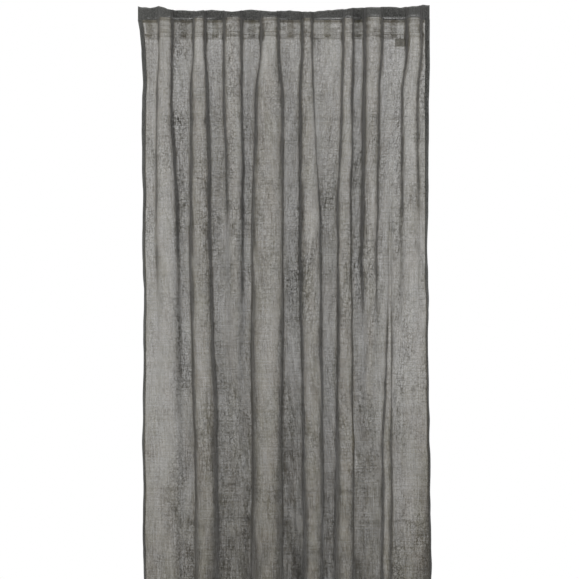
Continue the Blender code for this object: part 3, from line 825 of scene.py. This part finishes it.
def make_cloth():
    """The sheet of face cloth and the hems along its top, bottom and sides."""
    points = np.stack([X, Y, Z], -1)
    from_edge = np.minimum(GRID_S, FLAT_WIDTH - GRID_S)
    hemmed = (GRID_Z > TOP - TOP_TURNOVER) | (GRID_Z < BOTTOM + BOTTOM_HEM) | (from_edge < SIDE_HEM)
    values = {"cover": COVER, "backed": hemmed, "crackle": crackle()}
    cloth = sheet_mesh("face_cloth_sheer", points, GRID_S, GRID_Z, values)
    fit(cloth, SHEER, "panel", "face_cloth")

    depth, offset = hem_section(TOP_TURNOVER)[..., None]
    s, z = np.broadcast_arrays(PLACES, TOP - depth)
    cover = HEM_COVER - 0.66 * dash_light()[:1] * bell(z - DASH_Z, 0.0022)
    hems = [make_hem("turned_over_top", "top_turnover", s, z, depth, offset, (0, 1), cover)]

    depth, offset = hem_section(BOTTOM_HEM)[..., None]
    s, z = np.broadcast_arrays(PLACES, BOTTOM + depth)
    hems.append(make_hem("turned_up_bottom_hem", "bottom_hem", s, z, depth, offset, (0, -1),
                         HEM_COVER))

    depth, offset = hem_section(SIDE_HEM)
    high, low = TOP - TOP_TURNOVER + 0.001, BOTTOM + BOTTOM_HEM - 0.001
    rows = np.concatenate(([high], LEVELS[(LEVELS < high) & (LEVELS > low)], [low]))
    for side, places, outward in (("left", depth, (-1, 0)), ("right", FLAT_WIDTH - depth, (1, 0))):
        s, z = np.meshgrid(places, rows)
        hems.append(make_hem(f"turned_{side}_hem", f"{side}_side_hem", s, z, depth, offset,
                             outward, SIDE_HEM_COVER))
    return cloth, hems


def make_knot(name, node, place, z):
    """A tied knot: a trefoil of cord, flat against the back of the cloth."""
    centre, normal = on_cloth(np.array([place]), np.array([z]), KNOT_OFFSET)
    across = np.cross(normal[0], (0, 0, 1))
    t = np.arange(48) / 48 * 2 * math.pi
    coil = KNOT_COIL * (2 + np.cos(3 * t))
    path = (centre + across * (coil * np.cos(2 * t))[:, None]
            + np.array((0, 0, 1)) * (coil * np.sin(2 * t))[:, None]
            + normal * (CORD_RADIUS * np.sin(3 * t))[:, None])
    return fit(tube(name, path, CORD_RADIUS * 0.9, closed=True), CORD, "panel", node)


def make_heading():
    """The heading tape, its two draw cords and their knots."""
    places = PLACES[(PLACES > TAPE_INSET) & (PLACES < FLAT_WIDTH - TAPE_INSET)]
    places = np.concatenate(([TAPE_INSET], places, [FLAT_WIDTH - TAPE_INSET]))
    s, z = np.meshgrid(places, np.linspace(TAPE_HALF, -TAPE_HALF, 25))
    points, _ = on_cloth(s, z, TAPE_OFFSET)
    tape = sheet_mesh("woven_heading_tape", points, s, z)
    made = [fit(tape, TAPE, "panel", "heading_tape")]
    for name in ("upper_draw_cord", "lower_draw_cord"):
        low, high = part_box(name)
        z = (low.z + high.z) / 2
        end = KNOT_INSET + KNOT_SIZE
        points, _ = on_cloth(np.linspace(end, FLAT_WIDTH - end, 620), z, CORD_OFFSET)
        made.append(fit(tube(f"{name}_braid", points, CORD_RADIUS), CORD, "panel", name))
        for side, place in (("left", KNOT_INSET), ("right", FLAT_WIDTH - KNOT_INSET)):
            made.append(make_knot(f"{name}_{side}_tied_knot", f"{name}_{side}_knot", place, z))
    return made


def make_seams():
    """The stitch lines: each row gives its name, its two ends and how far behind it is sewn."""
    edge = TAPE_HALF - TAPE_SEAM_INSET
    left, right = TAPE_INSET + 0.001, FLAT_WIDTH - TAPE_INSET - 0.001
    inset = SIDE_HEM - HEM_SEAM_INSET
    hem = BOTTOM + BOTTOM_HEM - HEM_SEAM_INSET
    low, high = BOTTOM + BOTTOM_HEM + 0.002, TOP - TOP_TURNOVER - 0.002
    made = []
    for name, s0, z0, s1, z1, back in (
            ("tape_top", left, edge, right, edge, TAPE_THREAD),
            ("tape_bottom", left, -edge, right, -edge, TAPE_THREAD),
            ("left_hem", inset, high, inset, low, HEM_THREAD),
            ("right_hem", FLAT_WIDTH - inset, high, FLAT_WIDTH - inset, low, HEM_THREAD),
            ("bottom_hem", 0.003, hem, FLAT_WIDTH - 0.003, hem, HEM_THREAD)):
        sewn = seam(f"{name}_seam", s0, z0, s1, z1, back)
        made.append(fit(sewn, THREAD, "panel", f"{name}_stitching"))
    return made


def dashes(name, x, y, z, along, length):
    """Straight stitches at points on the back of a flat piece, all along one direction."""
    middle = np.stack(np.broadcast_arrays(x, y, z), -1).astype(float)
    along, out = np.array(along, float), np.array((0, 1, 0), float)
    end = along * length / 2 - out * FLAT_STITCH_SUNK
    start = -along * length / 2 - out * FLAT_STITCH_SUNK
    sides = np.broadcast_to(np.cross(along, out), middle.shape)
    normals = np.broadcast_to(out, middle.shape)
    return stitches(name, middle + start, middle, middle + end, sides, normals)


def thicken(piece, thickness):
    """Gives a sheet its real thickness, half to each side."""
    shell = piece.modifiers.new("thickness", "SOLIDIFY")
    shell.thickness, shell.offset = thickness, 0.0


def loop_line(foot_y, foot_z, radius):
    """The middle of a loop's webbing from the side: y and z, from its upper to its lower end."""
    turn = np.linspace(0, math.pi, 25)
    rear = np.stack([radius * np.sin(turn), radius * np.cos(turn)], -1)
    upper = np.stack([np.full(8, foot_y), np.linspace(foot_z, radius, 8)], -1)
    run = np.stack([np.linspace(foot_y, 0, 8)[1:-1], np.full(6, radius)], -1)
    half = np.concatenate((upper, run))
    return np.concatenate((half, rear, (half * (1, -1))[::-1]))


def make_loops():
    """The webbing loops that the rod goes through, and the bar tacks that hold their ends."""
    made = []
    for i, x in zip(LOOPS, LOOP_X):
        low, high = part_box(f"rod_loop_{i}")
        body = "panel" if i == 1 else f"loop_{i}"
        line = loop_line(low.y + LOOP_PLY / 2, high.z, high.y - LOOP_PLY / 2)
        length = np.concatenate(([0], np.cumsum(np.linalg.norm(np.diff(line, axis=0), axis=1))))
        shares = np.array((-0.5, -0.47, -0.4, -0.25, 0, 0.25, 0.4, 0.47, 0.5))
        u, v = np.meshgrid(shares * (high.x - low.x), length)
        y, z = (np.broadcast_to(line[:, [k]], u.shape) for k in (0, 1))
        loop = sheet_mesh(f"webbing_loop_{i}", np.stack([x + u, y, z], -1), u, v)
        thicken(loop, LOOP_PLY)
        soft = loop.modifiers.new("edges", "BEVEL")
        soft.width, soft.segments, soft.angle_limit = LOOP_EDGE, 2, 1.0
        made.append(fit(loop, WEBBING, body, f"rod_loop_{i}"))
        for end in ("upper", "lower"):
            a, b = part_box(f"loop_{i}_{end}_tack")
            xs = np.linspace(a.x + TACK_INSET, b.x - TACK_INSET, 16)
            z = (a.z + b.z) / 2
            tack = dashes(f"loop_{i}_{end}_bar_tack", xs, a.y + 0.0003, z, (0, 0, 1), b.z - a.z)
            fit(tack, THREAD, body, f"loop_{i}_{end}_tack")
    return made


def make_label():
    """The blank care label, curling away from the cloth, and its stitches."""
    low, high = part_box("care_label")
    u, v = np.meshgrid(np.linspace(low.x, high.x, 22), np.linspace(high.z, low.z, 14))
    drop = (high.z - v) / (high.z - low.z)
    wave = np.sin((u - low.x) * LABEL_WAVES)
    y = (low.y + high.y) / 2 + LABEL_CURL * drop ** 2 * wave
    label = sheet_mesh("blank_care_label", np.stack([u, y, v], -1), u, v)
    thicken(label, LABEL_PLY)
    fit(label, LABEL, "panel", "care_label")
    a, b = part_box("label_stitching")
    xs = np.arange(a.x + LABEL_SEAM_INSET, b.x, LABEL_PITCH)
    sewn = dashes("label_seam", xs, (a.y + b.y) / 2, (a.z + b.z) / 2, (1, 0, 0), LABEL_STITCH)
    fit(sewn, THREAD, "panel", "label_stitching")
    return [label, sewn]


cloth, hems = make_cloth()
heading = make_heading()
seams = make_seams()
loops = make_loops()
label = make_label()


# ---------------------------------------------------------------- floor, light and camera
FLOOR_HALF, FLOOR_GAP = 5.0, 0.03      # half the floor's side, and the gap under the hem
CAMERA_DISTANCE, CAMERA_X, CAMERA_Z = 4.5, 0.0173, -0.697
SEEN_HEIGHT = 1.544                    # of the cloth, from the picture's top to its bottom
SENSOR = 36


def make_stage():
    mesh = bpy.data.meshes.new("floor")
    corners = ((-1, -1), (1, -1), (1, 1), (-1, 1))
    points = [(x * FLOOR_HALF, y * FLOOR_HALF, BOTTOM - FLOOR_GAP) for x, y in corners]
    mesh.from_pydata(points, [], [(0, 1, 2, 3)])
    floor = bpy.data.objects.new("floor", mesh)
    bpy.context.scene.collection.objects.link(floor)
    pale = bpy.data.materials.new("pale_floor")
    pale.use_nodes = True
    shader = pale.node_tree.nodes["Principled BSDF"]
    shader.inputs["Base Color"].default_value = (0.8, 0.8, 0.79, 1)
    shader.inputs["Roughness"].default_value = 0.8
    mesh.materials.append(pale)


def make_light(name, place, target, size, power):
    data = bpy.data.lights.new(name, "AREA")
    data.shape, data.size, data.energy = "SQUARE", size, power
    lamp = bpy.data.objects.new(name, data)
    lamp.location = place
    lamp.rotation_mode = "QUATERNION"
    lamp.rotation_quaternion = (Vector(target) - Vector(place)).to_track_quat("-Z", "Y")
    bpy.context.scene.collection.objects.link(lamp)


def make_world():
    world = bpy.data.worlds.new("white_studio")
    world.use_nodes = True
    sky = world.node_tree.nodes["Background"]
    sky.inputs["Color"].default_value = (1, 1, 1, 1)
    sky.inputs["Strength"].default_value = 1.0
    bpy.context.scene.world = world
    bpy.context.scene.view_settings.view_transform = "Standard"


def make_camera():
    data = bpy.data.cameras.new("camera")
    data.sensor_width = SENSOR
    data.lens = SENSOR * CAMERA_DISTANCE / SEEN_HEIGHT
    camera = bpy.data.objects.new("camera", data)
    camera.location = (CAMERA_X, CLOTH_BACK_Y - CAMERA_DISTANCE, CAMERA_Z)
    camera.rotation_euler = (math.pi / 2, 0, 0)
    bpy.context.scene.collection.objects.link(camera)
    bpy.context.scene.camera = camera


make_stage()
make_world()
make_light("key", (-1.6, -2.6, 0.9), (0, 0, -0.7), 1.4, 30)
make_light("fill", (2.0, -2.8, 0.1), (0, 0, -0.9), 1.6, 12)
make_camera()
